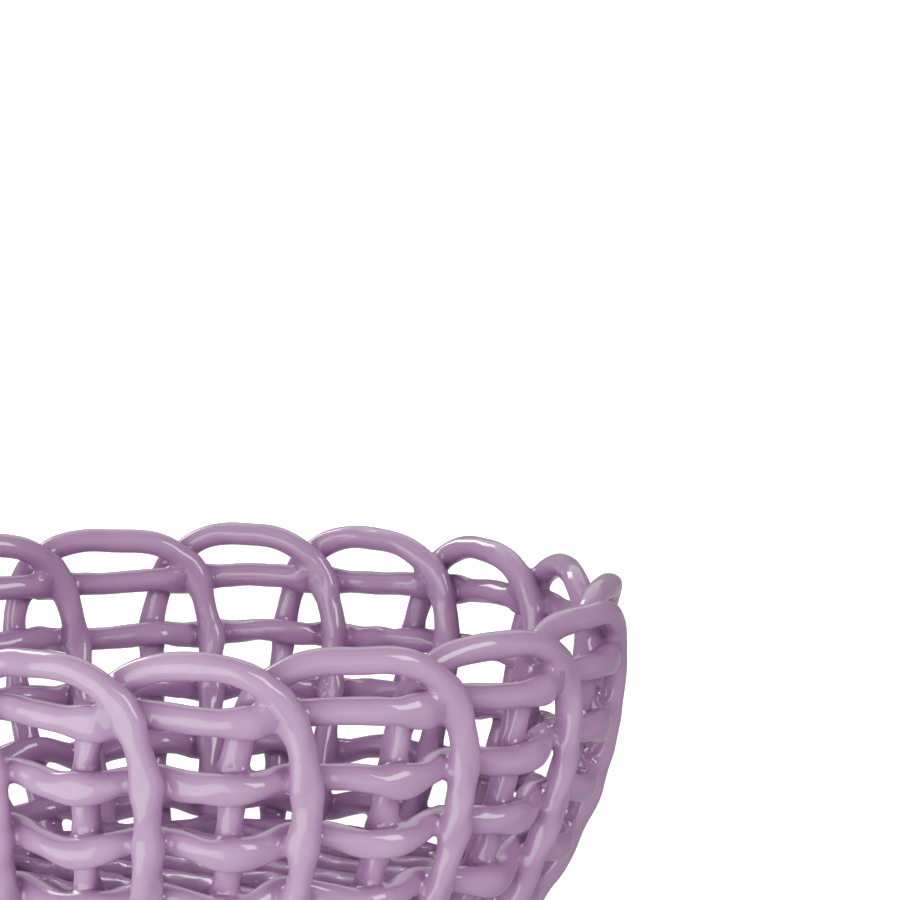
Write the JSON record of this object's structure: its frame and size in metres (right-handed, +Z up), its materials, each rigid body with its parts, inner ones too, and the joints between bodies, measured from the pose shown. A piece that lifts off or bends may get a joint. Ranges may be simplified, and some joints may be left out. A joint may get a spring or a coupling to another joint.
{
  "type": "ceramic basket",
  "caption": "Round open basket laced from rolled clay strands: arched strands cross along a scalloped rim and run inside and outside a stack of rings, over a crossed floor, under a glossy lilac glaze.",
  "frame": {"origin": "on the table, at the middle of the foot ring, which is the bottom centre of the whole basket", "axes": "+Z up out of the open mouth; -Y is the side nearest the viewer of the picture and +X is to the viewer's right"},
  "size_m": [0.2374, 0.2375, 0.1028],
  "materials": {
    "lilac_glaze": "glossy lilac glaze over rolled clay"
  },
  "bodies": {
    "root": {"arch_strand_01": "lilac_glaze", "arch_strand_02": "lilac_glaze", "arch_strand_03": "lilac_glaze", "arch_strand_04": "lilac_glaze", "arch_strand_05": "lilac_glaze", "arch_strand_06": "lilac_glaze", "arch_strand_07": "lilac_glaze", "arch_strand_08": "lilac_glaze", "arch_strand_09": "lilac_glaze", "arch_strand_10": "lilac_glaze", "arch_strand_11": "lilac_glaze", "arch_strand_12": "lilac_glaze", "arch_strand_13": "lilac_glaze", "arch_strand_14": "lilac_glaze", "arch_strand_15": "lilac_glaze", "arch_strand_16": "lilac_glaze", "wall_ring_1": "lilac_glaze", "wall_ring_2": "lilac_glaze", "wall_ring_3": "lilac_glaze", "wall_ring_4": "lilac_glaze", "wall_ring_5": "lilac_glaze", "foot_ring": "lilac_glaze", "floor_ring": "lilac_glaze", "lower_floor_strand_1": "lilac_glaze", "lower_floor_strand_2": "lilac_glaze", "lower_floor_strand_3": "lilac_glaze", "lower_floor_strand_4": "lilac_glaze", "lower_floor_strand_5": "lilac_glaze", "lower_floor_strand_6": "lilac_glaze", "lower_floor_strand_7": "lilac_glaze", "lower_floor_strand_8": "lilac_glaze", "lower_floor_strand_9": "lilac_glaze", "upper_floor_strand_1": "lilac_glaze", "upper_floor_strand_2": "lilac_glaze", "upper_floor_strand_3": "lilac_glaze", "upper_floor_strand_4": "lilac_glaze", "upper_floor_strand_5": "lilac_glaze", "upper_floor_strand_6": "lilac_glaze", "upper_floor_strand_7": "lilac_glaze", "upper_floor_strand_8": "lilac_glaze", "upper_floor_strand_9": "lilac_glaze"}
  },
  "joints": []
}
